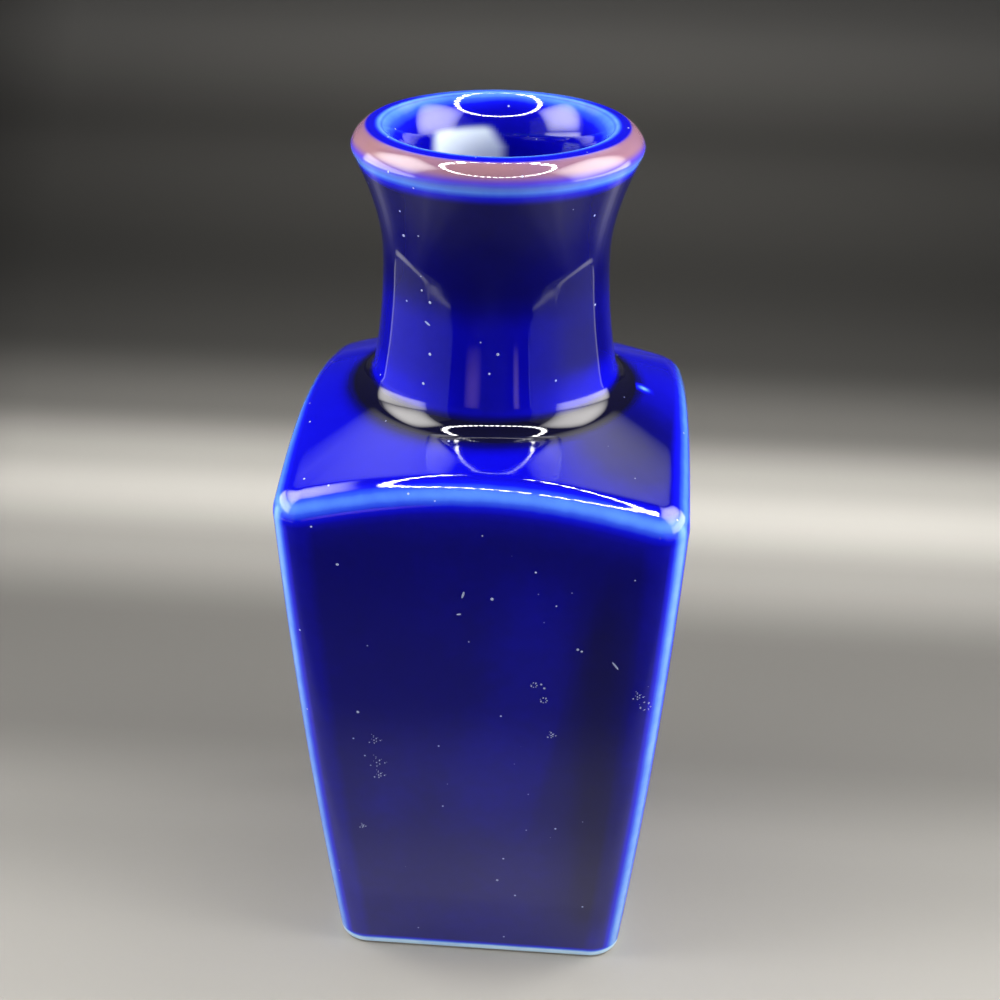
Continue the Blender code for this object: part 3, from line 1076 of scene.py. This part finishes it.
class Nodes:
    """A short way to lay out a material's nodes."""

    def __init__(self, name: str) -> None:
        """Makes a new material and empties its tree.

        Args:
            name: The material's name.
        """
        self.material = bpy.data.materials.new(name)
        self.material.use_nodes = True
        self.tree = self.material.node_tree
        self.tree.nodes.clear()

    def add(self, kind: str, inputs: dict | None = None, **settings: object) -> bpy.types.Node:
        """Adds a node.

        Args:
            kind: The node type's name without its ShaderNode prefix.
            inputs: Values or output sockets for its inputs, by name or number.
            settings: Values for the node's own properties.

        Returns:
            The node.
        """
        node = self.tree.nodes.new("ShaderNode" + kind)
        for key, value in settings.items():
            setattr(node, key, value)
        for key, value in (inputs or {}).items():
            if isinstance(value, bpy.types.NodeSocket):
                self.tree.links.new(value, node.inputs[key])
            else:
                node.inputs[key].default_value = value
        return node

    def math(self, operation: str, *values: object, clamp: bool = False) -> bpy.types.NodeSocket:
        """The result of a Math node on values or sockets."""
        node = self.add("Math", dict(enumerate(values)), operation=operation, use_clamp=clamp)
        return node.outputs[0]

    def mix(self, factor: object, first: object, second: object,
            blend: str = "MIX") -> bpy.types.NodeSocket:
        """The colour between two colours, by a factor from 0 to 1."""
        node = self.add("Mix", {0: factor, 6: first, 7: second}, data_type="RGBA", blend_type=blend)
        return node.outputs[2]

    def ramp(self, value: bpy.types.NodeSocket,
             stops: tuple[tuple[float, Colour], ...],
             blend: str = "LINEAR") -> bpy.types.NodeSocket:
        """The colour that a ramp gives a value.

        Args:
            value: Where to read the ramp, from 0 to 1.
            stops: Places and colours, in rising order.
            blend: How the ramp runs between its stops.

        Returns:
            The colour's socket.
        """
        node = self.add("ValToRGB", {0: value})
        node.color_ramp.interpolation = blend
        elements = node.color_ramp.elements
        elements[0].position, elements[0].color = stops[0][0], (*stops[0][1], 1.0)
        elements[1].position, elements[1].color = stops[-1][0], (*stops[-1][1], 1.0)
        for place, colour in stops[1:-1]:
            elements.new(place).color = (*colour, 1.0)
        return node.outputs[0]

    def spread(self, value: bpy.types.NodeSocket, low: float, high: float,
               to_low: float = 0.0, to_high: float = 1.0) -> bpy.types.NodeSocket:
        """A value carried from one range to another and held inside it."""
        node = self.add("MapRange", {0: value, 1: low, 2: high, 3: to_low, 4: to_high})
        return node.outputs[0]

    def scaled(self, value: bpy.types.NodeSocket, factor: object) -> bpy.types.NodeSocket:
        """A value times a number or another socket."""
        return self.math("MULTIPLY", value, factor)

    def noise(self, place: bpy.types.NodeSocket, scale: float,
              detail: float) -> bpy.types.NodeSocket:
        """A cloudy value from 0 to 1, with so many clouds to the metre."""
        return self.add("TexNoise", {"Vector": place, "Scale": scale, "Detail": detail}).outputs[0]

    def finish(self, kind: str, inputs: dict) -> bpy.types.Material:
        """Adds the last shader and the output.

        Args:
            kind: The shader's type without its ShaderNode prefix.
            inputs: Values or output sockets for its inputs.

        Returns:
            The finished material.
        """
        shader = self.add(kind, inputs)
        self.add("OutputMaterial", {"Surface": shader.outputs[0]})
        return self.material


@dataclass(frozen=True)
class Paint:
    """An even finish of one colour and one roughness."""

    name: str
    colour: Colour
    roughness: float = 0.85

    def material(self) -> bpy.types.Material:
        """The paint's material."""
        return Nodes(self.name).finish("BsdfPrincipled", {
            "Base Color": (*self.colour, 1.0), "Roughness": self.roughness})


PALE_FLECK = Paint("pale_fleck", (0.30, 0.34, 0.56), 0.25)


@dataclass(frozen=True)
class CobaltGlaze:
    """The deep blue gloss glaze, which goes light where it thins and pink on the lip, with
    a painted reflection of the floor and a painted highlight in the bore.

    Each span carries a value from its first two numbers to its last two.
    """

    stops: tuple[tuple[float, Colour], ...] = (
        (0.00, (0.0030, 0.0028, 0.016)),
        (0.08, (0.0022, 0.0018, 0.070)),
        (0.16, (0.0018, 0.0014, 0.135)),
        (0.34, (0.0024, 0.0018, 0.46)),
        (0.55, (0.0038, 0.0060, 0.65)),
        (0.72, (0.026, 0.082, 0.73)),
        (0.84, (0.084, 0.235, 0.84)),
        (0.93, (0.210, 0.425, 0.90)),
        (1.00, (0.480, 0.690, 0.90)),
    )
    blush: Colour = (0.265, 0.138, 0.160)
    clay: Colour = (0.74, 0.73, 0.69)
    # Grey added as the painted reflection of the floor.
    floor_reflection: Colour = (0.020, 0.019, 0.021)
    # Colour of the painted highlight in the bore.
    throat_highlight: Colour = (0.86, 1.0, 1.0)
    speck: Colour = (0.42, 0.48, 0.80)
    cloud_scale: float = 45.0
    streak_scale: float = 420.0
    cloud_detail: float = 3.0
    cloud_strength: float = 0.16
    streak_strength: float = 0.07
    thin_span: tuple[float, ...] = (0.0, 0.5, 0.25, 1.0)
    blush_span: tuple[float, ...] = (0.25, 0.6, 0.75, 1.0)
    # How the clouds vary the painted reflection of the floor.
    reflection_span: tuple[float, ...] = (0.2, 0.8, 0.8, 1.2)
    specks_per_metre: float = 270.0
    speck_reach: float = 0.054
    speck_core: float = 0.6
    roughness: float = 0.055
    clay_roughness: float = 0.7
    ior: float = 1.5
    ripple_scale: float = 160.0
    ripple_detail: float = 1.0
    wave_height: float = 0.00002

    def thinness(self, nodes: Nodes, layer: bpy.types.NodeSocket, place: bpy.types.NodeSocket,
                 cloud: bpy.types.NodeSocket) -> bpy.types.NodeSocket:
        """How thin the glaze is, with the painted light and shade that its layer carries: the
        layer plus clouds and streaks, fewer where it is deep.

        Args:
            nodes: The material's nodes.
            layer: The layer's own thinness.
            place: The point's place.
            cloud: The wide clouds' value.

        Returns:
            The thinness, from 0 to 1.
        """
        streak = nodes.noise(place, self.streak_scale, self.cloud_detail)
        middle = 0.5
        uneven = nodes.math(
            "ADD", nodes.scaled(nodes.math("SUBTRACT", cloud, middle), self.cloud_strength),
            nodes.scaled(nodes.math("SUBTRACT", streak, middle), self.streak_strength))
        weight = nodes.spread(layer, *self.thin_span)
        return nodes.math("ADD", layer, nodes.scaled(uneven, weight), clamp=True)

    def material(self) -> bpy.types.Material:
        """The glaze's material, read from the shell's layers and Object coordinates.

        The thinness, with the painted shade and glint that it carries, runs through the
        ramp of blues. Blush, the painted reflection of the floor, the painted highlight in
        the bore, specks and bare clay are laid over it in that order: the specks near the
        middles of small cells, and each of the others by its own layer.

        Returns:
            The material.
        """
        nodes = Nodes("cobalt_glaze")
        place = nodes.add("TexCoord").outputs["Object"]
        layer = {name: nodes.add("Attribute", attribute_name=name.value).outputs["Fac"]
                 for name in Layer}
        cloud = nodes.noise(place, self.cloud_scale, self.cloud_detail)
        colour = nodes.ramp(self.thinness(nodes, layer[Layer.THIN], place, cloud), self.stops)
        blush = nodes.scaled(layer[Layer.BLUSH], nodes.spread(cloud, *self.blush_span))
        colour = nodes.mix(blush, colour, (*self.blush, 1.0))
        # Painted reflection of the floor, added as grey.
        floor_reflection = nodes.scaled(layer[Layer.FLOOR_REFLECTION], nodes.spread(cloud, *self.reflection_span))
        colour = nodes.mix(floor_reflection, colour, (*self.floor_reflection, 1.0), "ADD")
        # Painted highlight on the back of the bore.
        colour = nodes.mix(layer[Layer.THROAT_HIGHLIGHT], colour, (*self.throat_highlight, 1.0))
        cells = nodes.add("TexVoronoi", {"Vector": place, "Scale": self.specks_per_metre})
        speck = nodes.spread(cells.outputs["Distance"], self.speck_reach,
                             self.speck_reach * self.speck_core)
        colour = nodes.mix(speck, colour, (*self.speck, 1.0))
        colour = nodes.mix(layer[Layer.BARE], colour, (*self.clay, 1.0))
        ripple = nodes.noise(place, self.ripple_scale, self.ripple_detail)
        bump = nodes.add("Bump", {"Height": ripple, "Strength": 1.0, "Distance": self.wave_height})
        rough = nodes.spread(layer[Layer.BARE], 0.0, 1.0, self.roughness, self.clay_roughness)
        return nodes.finish("BsdfPrincipled", {"Base Color": colour, "Roughness": rough,
                                               "IOR": self.ior, "Normal": bump.outputs[0]})


def panel_mesh(name: str, middle: Point, along: Vector, up: Vector,
               size: Span) -> bpy.types.Mesh:
    """A flat panel, middle + u along + v up, whose own coordinates run from -1 to 1.

    Args:
        name: The mesh's name.
        middle: Where the panel's middle stands.
        along: Unit vector of its length.
        up: Unit vector of its height.
        size: Its length and height.

    Returns:
        The mesh, with u and v as its "across" coordinates.
    """
    corners = np.array([(-1.0, -1.0), (1.0, -1.0), (1.0, 1.0), (-1.0, 1.0)])
    points = np.array(middle) + corners * np.array(size) / 2 @ np.array([along, up])
    mesh = bpy.data.meshes.new(name)
    mesh.from_pydata(points.tolist(), [], [(0, 1, 2, 3)])
    mesh.uv_layers.new(name="across").data.foreach_set("uv", corners.ravel())
    return mesh


def staged(name: str, mesh: bpy.types.Mesh, seen: bool = False) -> bpy.types.Object:
    """Puts a studio mesh in the scene as stage, seen by the camera or only by the glaze.

    Args:
        name: The object's name.
        mesh: Its mesh.
        seen: Whether the camera sees it.

    Returns:
        The staged object.
    """
    thing = placed(name, mesh)
    thing.visible_camera = seen
    return thing


@dataclass(frozen=True)
class SoftPanel:
    """A flat soft light, brightest in its middle, aimed at a point.

    Its tilt rolls it about the line to its aim, and the firmer it is, the further
    its full brightness reaches towards its edges.
    """

    name: str
    place: Point
    aim: Point
    size: Span
    strength: float
    firmness: float = 2.0
    colour: Colour = (1.0, 0.97, 0.93)
    tilt: float = 0.0

    def build(self) -> bpy.types.Object:
        """Makes the panel with its faces towards the aim, unseen by the camera.

        Its glow is strength (1 - |u|^f) (1 - |v|^f), with u and v from -1 to 1 across it.

        Returns:
            The staged panel.
        """
        toward = (Vector(self.aim) - Vector(self.place)).normalized()
        level = toward.cross(Vector((0, 0, 1))).normalized()
        along = Matrix.Rotation(self.tilt, 3, toward) @ level
        mesh = panel_mesh(self.name, self.place, along, along.cross(toward), self.size)
        nodes = Nodes(self.name)
        across = nodes.add("SeparateXYZ", {0: nodes.add("UVMap", uv_map="across").outputs[0]})
        away = [nodes.math("ABSOLUTE", across.outputs[i]) for i in (0, 1)]
        near = [nodes.math("SUBTRACT", 1.0, nodes.math("POWER", far, self.firmness))
                for far in away]
        mesh.materials.append(nodes.finish("Emission", {
            "Color": (*self.colour, 1.0),
            "Strength": nodes.scaled(nodes.scaled(*near), self.strength)}))
        return staged(self.name, mesh)


def facing_in(name: str, x: float, y: float, z: float, size: Span, strength: float,
              firmness: float, tilt: float = 0.0) -> SoftPanel:
    """An upright panel beside the vase that looks level across to the middle plane, x = 0."""
    return SoftPanel(name, (x, y, z), (0.0, y, z), size, strength, firmness, tilt=tilt)


@dataclass(frozen=True)
class RingLight:
    """A level ring of small round lamps overhead, whose loops show in the gloss."""

    count: int = 36
    centre: Point = (0.008, -0.089, 0.336)
    radius: float = 0.121
    bulb_radius: float = 0.0080
    strength: float = 30.0
    glitter: float = 85.0
    colour: Colour = (1.0, 0.985, 0.96)
    sides: int = 8

    def bulbs(self, name: str, strength: float) -> bpy.types.Object:
        """Makes the bulbs as one mesh: small discs at even angles on a level circle.

        Args:
            name: The object's name.
            strength: How bright the bulbs are.

        Returns:
            The staged object.
        """
        turn = np.arange(self.count) * 2 * math.pi / self.count
        rim = -np.arange(self.sides) * 2 * math.pi / self.sides
        spokes = np.stack([np.cos(turn), np.sin(turn), np.zeros_like(turn)], axis=1)
        disc = np.stack([np.cos(rim), np.sin(rim), np.zeros_like(rim)], axis=1)
        points = np.array(self.centre) + self.radius * spokes[:, None] + self.bulb_radius * disc
        faces = np.arange(self.count * self.sides).reshape(self.count, self.sides)
        mesh = bpy.data.meshes.new(name)
        mesh.from_pydata(points.reshape(-1, 3).tolist(), [], faces.tolist())
        mesh.materials.append(Nodes(name).finish("Emission", {
            "Color": (*self.colour, 1.0), "Strength": strength}))
        return staged(name, mesh)

    def build(self) -> list[bpy.types.Object]:
        """Makes the bulbs twice: once to light the scene and once, brighter, for the gloss.

        Returns:
            Both staged objects.
        """
        light = self.bulbs("ring_light", self.strength)
        light.visible_glossy = False
        glitter = self.bulbs("ring_glitter", self.glitter)
        glitter.visible_diffuse = False
        return [light, glitter]


@dataclass(frozen=True)
class PaintedLightGrade:
    """A dull paint with painted light: its paleness changes softly from front to back and
    dims far aside, as painted pools of light and shade.
    """

    name: str
    reach: Span
    stops: tuple[Span, ...]
    tint: Colour = (1.0, 0.985, 0.93)
    aside: tuple[float, ...] = (0.100, 0.180, 1.0, 0.30)
    widening: float = 0.29
    roughness: float = 0.85

    def material(self) -> bpy.types.Material:
        """The paint's material: a ramp along Y, times a dimming with |X| - widening Y.

        Returns:
            The material.
        """
        nodes = Nodes(self.name)
        place = nodes.add("SeparateXYZ", {0: nodes.add("TexCoord").outputs["Object"]})
        share = nodes.spread(place.outputs["Y"], *self.reach)
        low, high = self.reach
        spots = tuple(((y - low) / (high - low), tuple(tone * part for part in self.tint))
                      for y, tone in self.stops)
        aside = nodes.math("SUBTRACT", nodes.math("ABSOLUTE", place.outputs["X"]),
                           nodes.scaled(place.outputs["Y"], self.widening))
        aside = nodes.spread(aside, *self.aside)
        colour = nodes.mix(1.0, nodes.ramp(share, spots, "EASE"), aside, "MULTIPLY")
        return nodes.finish("BsdfPrincipled", {"Base Color": colour, "Roughness": self.roughness})


@dataclass(frozen=True)
class Studio:
    """A pale floor with painted light and shade, between the pale sides of a light box,
    with a dark shade sheet in front and a dim surround.
    """

    floor_radius: float = 3.0
    floor_steps: int = 96
    # Painted light on the floor: a bright pool just behind the vase between darker bands, dimming
    # far aside.
    floor_light_paint: PaintedLightGrade = PaintedLightGrade("floor_painted_light", (-0.10, 0.90), (
        (-0.060, 0.345), (-0.026, 0.323), (0.004, 0.260), (0.036, 0.138), (0.075, 0.126),
        (0.109, 0.270), (0.138, 0.492), (0.157, 0.387), (0.190, 0.141), (0.240, 0.049),
        (0.300, 0.043), (0.470, 0.150), (0.720, 0.66)))
    side_paint: Paint = Paint("pale_side", (0.33, 0.33, 0.32))
    side_distance: float = 0.258
    side_middle: float = -0.105
    side_size: Span = (0.47, 0.44)
    # A dark sheet in front, seen only in the gloss: a painted reflection of shade on the floor.
    card_size: Span = (0.9, 0.50)
    card_middle: float = -0.285
    card_height: float = 0.0001
    card_stops: tuple[Span, ...] = (
        (0.0, 0.012), (0.78, 0.018), (0.89, 0.06), (0.95, 0.20), (1.0, 0.38))
    surround: Colour = (0.035, 0.035, 0.037)
    fill_place: Point = (0.0, -0.45, 0.07)
    fill_aim: Point = (0.0, 0.0, 0.09)
    fill_size: float = 0.25
    fill_power: float = 0.9
    panels: tuple[SoftPanel, ...] = (
        SoftPanel("left_panel", (-0.225, -0.02, 0.33), (0.0, -0.02, 0.27),
                  (0.26, 0.25), 12.0, 3.0),
        SoftPanel("right_panel", (0.225, 0.0, 0.30), (0.0, 0.0, 0.24), (0.30, 0.27), 12.0, 3.0),
        SoftPanel("left_low_panel", (-0.225, -0.02, 0.158), (0.0, -0.02, 0.15),
                  (0.26, 0.104), 8.0, 6.0),
        SoftPanel("right_low_panel", (0.225, 0.0, 0.130), (0.0, 0.0, 0.12),
                  (0.28, 0.090), 8.0, 6.0),
        SoftPanel("left_back_panel", (-0.13, 0.18, 0.40), (0.0, 0.0, 0.10), (0.19, 0.26), 2.0),
        SoftPanel("right_back_panel", (0.11, 0.20, 0.40), (0.0, 0.0, 0.10), (0.20, 0.25), 2.4),
        facing_in("left_base", -0.235, -0.002, 0.017, (0.25, 0.009), 2.2, 6.0, -0.12),
        facing_in("right_base", 0.235, -0.002, 0.017, (0.25, 0.009), 2.2, 6.0, 0.12),
        facing_in("left_front_base", -0.235, -0.192, 0.017, (0.19, 0.0036), 2.2, 6.0, 0.16),
        facing_in("right_front_base", 0.235, -0.192, 0.017, (0.19, 0.0036), 2.2, 6.0, -0.16),
        facing_in("left_post", -0.256, 0.128, 0.040, (0.014, 0.080), 1.6, 6.0),
        facing_in("right_post", 0.256, 0.128, 0.040, (0.014, 0.080), 1.6, 6.0),
        facing_in("right_front_post", 0.256, -0.352, 0.055, (0.008, 0.11), 1.2, 6.0),
        SoftPanel("left_front_panel", (-0.13, -0.46, 0.05), (0.0, 0.0, 0.1), (0.13, 0.09),
                  1.2, 2.0, (1.0, 0.55, 0.62)),
        SoftPanel("right_front_panel", (0.20, -0.46, 0.05), (0.0, 0.0, 0.1), (0.05, 0.11),
                  1.6, 2.0, (1.0, 0.62, 0.70)),
    )
    ring: RingLight = RingLight()

    def floor(self) -> bpy.types.Object:
        """Makes the floor, a flat disc under the vase: (cos a, sin a, 0) times its radius.

        Returns:
            The staged floor.
        """
        turn = np.arange(self.floor_steps) * 2 * math.pi / self.floor_steps
        points = np.stack([np.cos(turn), np.sin(turn), np.zeros_like(turn)], 1) * self.floor_radius
        mesh = bpy.data.meshes.new("floor")
        mesh.from_pydata(points.tolist(), [], [list(range(self.floor_steps))])
        mesh.materials.append(self.floor_light_paint.material())
        return staged("floor", mesh, seen=True)

    def sides(self) -> list[bpy.types.Object]:
        """Makes the two upright sides of the light box, which the glaze reflects.

        Returns:
            The left and the right side.
        """
        paint = self.side_paint.material()
        made = []
        for name, sign in (("left_side", -1), ("right_side", 1)):
            middle = (sign * self.side_distance, self.side_middle, self.side_size[1] / 2)
            mesh = panel_mesh(name, middle, Vector((0, -sign, 0)), Vector((0, 0, 1)),
                              self.side_size)
            mesh.materials.append(paint)
            made.append(staged(name, mesh))
        return made

    def shade_sheet(self) -> bpy.types.Object:
        """Makes the dark sheet in front, a painted reflection of shade that keeps the top of
        the face dark.

        Returns:
            The staged card, which shows only in the gloss.
        """
        low = self.card_middle - self.card_size[1] / 2
        stops = tuple((low + share * self.card_size[1], tone) for share, tone in self.card_stops)
        mesh = panel_mesh("shade_sheet", (0.0, self.card_middle, self.card_height),
                          Vector((1, 0, 0)), Vector((0, 1, 0)), self.card_size)
        paint = PaintedLightGrade("shade_sheet_paint", (low, low + self.card_size[1]), stops)
        mesh.materials.append(paint.material())
        card = staged("shade_sheet", mesh)
        # It casts no shadow and adds no bounce, and only darkens the reflection as painted shade.
        card.visible_shadow = card.visible_diffuse = False
        return card

    def fill(self) -> None:
        """Makes the wide soft lamp in front, which lights the glaze but isn't mirrored in it."""
        data = bpy.data.lights.new("front_fill", "AREA")
        data.size, data.energy = self.fill_size, self.fill_power
        lamp = bpy.data.objects.new("front_fill", data)
        place = Vector(self.fill_place)
        aim = (Vector(self.fill_aim) - place).to_track_quat("-Z", "Y")
        lamp.matrix_world = Matrix.Translation(place) @ aim.to_matrix().to_4x4()
        lamp.visible_camera = lamp.visible_glossy = False
        bpy.context.scene.collection.objects.link(lamp)

    def world(self) -> None:
        """Sets the dim even light that comes from everywhere else."""
        world = bpy.data.worlds.new("surround")
        bpy.context.scene.world = world
        world.use_nodes = True
        world.node_tree.nodes["Background"].inputs["Color"].default_value = (*self.surround, 1.0)

    def build(self) -> list[bpy.types.Object]:
        """Makes the floor, the light box, the lights and the surround.

        Returns:
            The staged objects.
        """
        stage = [self.floor(), *self.sides(), self.shade_sheet()]
        self.fill()
        self.world()
        stage += [panel.build() for panel in self.panels]
        stage += self.ring.build()
        bpy.context.scene.view_settings.view_transform = "Standard"
        return stage


@dataclass(frozen=True)
class Viewpoint:
    """Where the photograph was taken from, and how its frame lies."""

    from_axis: float = 0.2301
    height: float = 0.2030
    swing: float = math.radians(4.31)
    aim_side: float = 0.0011
    aim_height: float = 0.0768
    roll: float = math.radians(0.89)
    lens: float = 56.86
    sensor: float = 36.0
    nearest: float = 0.01

    def build(self) -> bpy.types.Object:
        """Makes the camera and gives it to the scene.

        The camera stands on a circle round the axis, looks at a point near the axis,
        and is rolled about its line of sight.

        Returns:
            The camera.
        """
        place = Vector((self.from_axis * math.sin(self.swing),
                        -self.from_axis * math.cos(self.swing), self.height))
        side = Vector((math.cos(self.swing), math.sin(self.swing), 0))
        ahead = (side * self.aim_side + Vector((0, 0, self.aim_height)) - place).normalized()
        right = ahead.cross(Vector((0, 0, 1))).normalized()
        above = right.cross(ahead)
        rolled_right = right * math.cos(self.roll) + above * math.sin(self.roll)
        rolled_above = above * math.cos(self.roll) - right * math.sin(self.roll)
        turn = Matrix((rolled_right, rolled_above, -ahead)).transposed()
        data = bpy.data.cameras.new("camera")
        data.sensor_width, data.lens = self.sensor, self.lens
        data.clip_start = self.nearest
        camera = bpy.data.objects.new("camera", data)
        camera.matrix_world = Matrix.Translation(place) @ turn.to_4x4()
        bpy.context.scene.collection.objects.link(camera)
        bpy.context.scene.camera = camera
        return camera


def report(piece: bpy.types.Object) -> None:
    """Logs a piece's name, point and face counts."""
    LOG.info("%s: %d points, %d faces", piece.name, len(piece.data.vertices),
             len(piece.data.polygons))


def main() -> None:
    """Builds the vase, the studio and the camera."""
    logging.basicConfig(level=logging.INFO, format="%(name)s: %(message)s")
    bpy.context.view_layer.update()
    shell = VaseShell()
    vase = shell.build("vase_shell")
    vase.data.materials.append(CobaltGlaze().material())
    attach(vase, "root")
    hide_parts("vase")
    report(vase)
    marks = GlazeMarks().build("glaze_marks", shell)
    marks.data.materials.append(PALE_FLECK.material())
    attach(marks, "root")
    report(marks)
    for thing in Studio().build():
        report(thing)
    Viewpoint().build()


if __name__ == "__main__":
    main()
